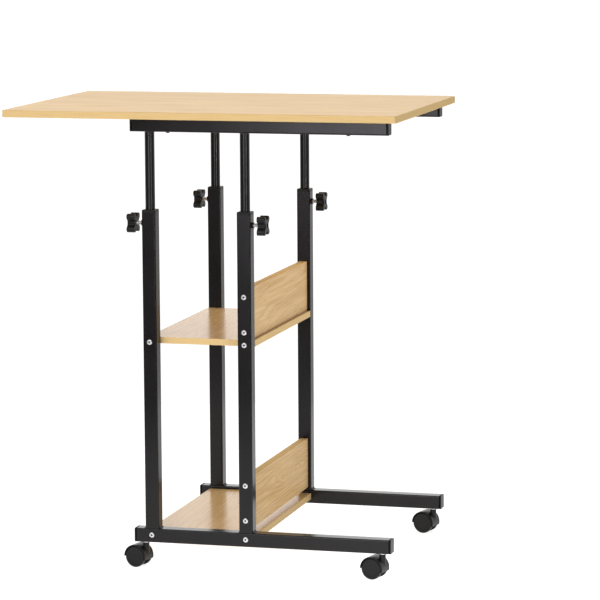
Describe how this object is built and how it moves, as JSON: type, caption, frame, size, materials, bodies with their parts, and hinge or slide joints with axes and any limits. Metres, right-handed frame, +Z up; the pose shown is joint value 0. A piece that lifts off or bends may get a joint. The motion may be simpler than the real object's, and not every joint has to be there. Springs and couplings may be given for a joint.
{
  "type": "laptop table",
  "caption": "Rolling laptop table: oak faced top on telescoping black steel side frames with clamp knobs, shelves with back panels and twin wheel casters.",
  "frame": {"origin": "on the floor under the middle of the table top", "axes": "+X along the table top towards the longer reach of the foot rails, +Y to the rear side frame, +Z up"},
  "size_m": [0.6, 0.4, 0.6853],
  "materials": {
    "oak_board": "matt",
    "black_steel": "satin",
    "black_tube": "gloss",
    "zinc_steel": "bright",
    "black_plastic": "matt",
    "caster_plastic": "satin"
  },
  "bodies": {
    "base_frame": {"clamp_nuts": "black_steel", "upper_shelf": "oak_board", "lower_shelf": "oak_board", "upper_back_panel": "oak_board", "lower_back_panel": "oak_board", "shelf_screws": "zinc_steel", "panel_screws": "zinc_steel", "caster_nuts": "zinc_steel", "front_foot_rail": "black_steel", "front_rail_end_caps": "black_plastic", "rear_foot_rail": "black_steel", "rear_rail_end_caps": "black_plastic", "front_left_post": "black_steel", "front_left_post_bushing": "black_plastic", "front_left_caster_stem": "zinc_steel", "front_right_post": "black_steel", "front_right_post_bushing": "black_plastic", "front_right_caster_stem": "zinc_steel", "rear_left_post": "black_steel", "rear_left_post_bushing": "black_plastic", "rear_left_caster_stem": "zinc_steel", "rear_right_post": "black_steel", "rear_right_post_bushing": "black_plastic", "rear_right_caster_stem": "zinc_steel"},
    "sliding_top": {"table_top": "oak_board", "table_top_screws": "zinc_steel", "inner_tube_glides": "black_plastic", "front_crossbar": "black_steel", "front_crossbar_end_caps": "black_plastic", "rear_crossbar": "black_steel", "rear_crossbar_end_caps": "black_plastic", "front_left_inner_tube": "black_tube", "front_right_inner_tube": "black_tube", "rear_left_inner_tube": "black_tube", "rear_right_inner_tube": "black_tube"},
    "front_left_clamp_screw": {"front_left_clamp_stud": "zinc_steel"},
    "front_left_star_knob": {"front_left_knob": "black_plastic"},
    "front_right_clamp_screw": {"front_right_clamp_stud": "zinc_steel"},
    "front_right_star_knob": {"front_right_knob": "black_plastic"},
    "rear_left_clamp_screw": {"rear_left_clamp_stud": "zinc_steel"},
    "rear_left_star_knob": {"rear_left_knob": "black_plastic"},
    "rear_right_clamp_screw": {"rear_right_clamp_stud": "zinc_steel"},
    "rear_right_star_knob": {"rear_right_knob": "black_plastic"},
    "front_left_caster_fork": {"front_left_caster_hood": "caster_plastic", "front_left_caster_axle": "zinc_steel"},
    "front_left_front_wheel": {"front_left_caster_front_wheel": "caster_plastic"},
    "front_left_rear_wheel": {"front_left_caster_rear_wheel": "caster_plastic"},
    "front_right_caster_fork": {"front_right_caster_hood": "caster_plastic", "front_right_caster_axle": "zinc_steel"},
    "front_right_front_wheel": {"front_right_caster_front_wheel": "caster_plastic"},
    "front_right_rear_wheel": {"front_right_caster_rear_wheel": "caster_plastic"},
    "rear_left_caster_fork": {"rear_left_caster_hood": "caster_plastic", "rear_left_caster_axle": "zinc_steel"},
    "rear_left_front_wheel": {"rear_left_caster_front_wheel": "caster_plastic"},
    "rear_left_rear_wheel": {"rear_left_caster_rear_wheel": "caster_plastic"},
    "rear_right_caster_fork": {"rear_right_caster_hood": "caster_plastic", "rear_right_caster_axle": "zinc_steel"},
    "rear_right_front_wheel": {"rear_right_caster_front_wheel": "caster_plastic"},
    "rear_right_rear_wheel": {"rear_right_caster_rear_wheel": "caster_plastic"}
  },
  "joints": [
    {"name": "height_slide", "type": "slide", "parent": "base_frame", "child": "sliding_top", "axis": [0, 0, 1], "range_m": [-0.06, 0.025]},
    {"name": "front_left_clamp_travel", "type": "slide", "parent": "base_frame", "child": "front_left_clamp_screw", "axis": [-1, 0, 0], "range_m": [0, 0.003]},
    {"name": "front_left_knob_turn", "type": "hinge", "parent": "front_left_clamp_screw", "child": "front_left_star_knob", "pos_m": [-0.10125, -0.1698, 0.5193], "axis": [-1, 0, 0], "range_deg": [0, 1080]},
    {"name": "front_right_clamp_travel", "type": "slide", "parent": "base_frame", "child": "front_right_clamp_screw", "axis": [1, 0, 0], "range_m": [0, 0.003]},
    {"name": "front_right_knob_turn", "type": "hinge", "parent": "front_right_clamp_screw", "child": "front_right_star_knob", "pos_m": [0.08645, -0.1698, 0.5193], "axis": [1, 0, 0], "range_deg": [0, 1080]},
    {"name": "rear_left_clamp_travel", "type": "slide", "parent": "base_frame", "child": "rear_left_clamp_screw", "axis": [-1, 0, 0], "range_m": [0, 0.003]},
    {"name": "rear_left_knob_turn", "type": "hinge", "parent": "rear_left_clamp_screw", "child": "rear_left_star_knob", "pos_m": [-0.10125, 0.1698, 0.5193], "axis": [-1, 0, 0], "range_deg": [0, 1080]},
    {"name": "rear_right_clamp_travel", "type": "slide", "parent": "base_frame", "child": "rear_right_clamp_screw", "axis": [1, 0, 0], "range_m": [0, 0.003]},
    {"name": "rear_right_knob_turn", "type": "hinge", "parent": "rear_right_clamp_screw", "child": "rear_right_star_knob", "pos_m": [0.08645, 0.1698, 0.5193], "axis": [1, 0, 0], "range_deg": [0, 1080]},
    {"name": "front_left_caster_swivel", "type": "hinge", "parent": "base_frame", "child": "front_left_caster_fork", "pos_m": [-0.093, -0.1698, 0.038], "axis": [0, 0, 1], "continuous": true},
    {"name": "front_left_front_wheel_roll", "type": "hinge", "parent": "front_left_caster_fork", "child": "front_left_front_wheel", "pos_m": [-0.10572, -0.1671, 0.016], "axis": [0.2079, 0.9781, 0], "continuous": true},
    {"name": "front_left_rear_wheel_roll", "type": "hinge", "parent": "front_left_caster_fork", "child": "front_left_rear_wheel", "pos_m": [-0.10572, -0.1671, 0.016], "axis": [0.2079, 0.9781, 0], "continuous": true},
    {"name": "front_right_caster_swivel", "type": "hinge", "parent": "base_frame", "child": "front_right_caster_fork", "pos_m": [0.2715, -0.1698, 0.038], "axis": [0, 0, 1], "continuous": true},
    {"name": "front_right_front_wheel_roll", "type": "hinge", "parent": "front_right_caster_fork", "child": "front_right_front_wheel", "pos_m": [0.25878, -0.1671, 0.016], "axis": [0.2079, 0.9781, 0], "continuous": true},
    {"name": "front_right_rear_wheel_roll", "type": "hinge", "parent": "front_right_caster_fork", "child": "front_right_rear_wheel", "pos_m": [0.25878, -0.1671, 0.016], "axis": [0.2079, 0.9781, 0], "continuous": true},
    {"name": "rear_left_caster_swivel", "type": "hinge", "parent": "base_frame", "child": "rear_left_caster_fork", "pos_m": [-0.093, 0.1698, 0.038], "axis": [0, 0, 1], "continuous": true},
    {"name": "rear_left_front_wheel_roll", "type": "hinge", "parent": "rear_left_caster_fork", "child": "rear_left_front_wheel", "pos_m": [-0.10572, 0.1725, 0.016], "axis": [0.2079, 0.9781, 0], "continuous": true},
    {"name": "rear_left_rear_wheel_roll", "type": "hinge", "parent": "rear_left_caster_fork", "child": "rear_left_rear_wheel", "pos_m": [-0.10572, 0.1725, 0.016], "axis": [0.2079, 0.9781, 0], "continuous": true},
    {"name": "rear_right_caster_swivel", "type": "hinge", "parent": "base_frame", "child": "rear_right_caster_fork", "pos_m": [0.2715, 0.1698, 0.038], "axis": [0, 0, 1], "continuous": true},
    {"name": "rear_right_front_wheel_roll", "type": "hinge", "parent": "rear_right_caster_fork", "child": "rear_right_front_wheel", "pos_m": [0.25878, 0.1725, 0.016], "axis": [0.2079, 0.9781, 0], "continuous": true},
    {"name": "rear_right_rear_wheel_roll", "type": "hinge", "parent": "rear_right_caster_fork", "child": "rear_right_rear_wheel", "pos_m": [0.25878, 0.1725, 0.016], "axis": [0.2079, 0.9781, 0], "continuous": true}
  ],
  "couplings": [
    {"joint": "front_left_knob_turn", "follows": "front_left_clamp_travel", "rad_per_m": 6283.2},
    {"joint": "front_right_knob_turn", "follows": "front_right_clamp_travel", "rad_per_m": 6283.2},
    {"joint": "rear_left_knob_turn", "follows": "rear_left_clamp_travel", "rad_per_m": 6283.2},
    {"joint": "rear_right_knob_turn", "follows": "rear_right_clamp_travel", "rad_per_m": 6283.2}
  ]
}
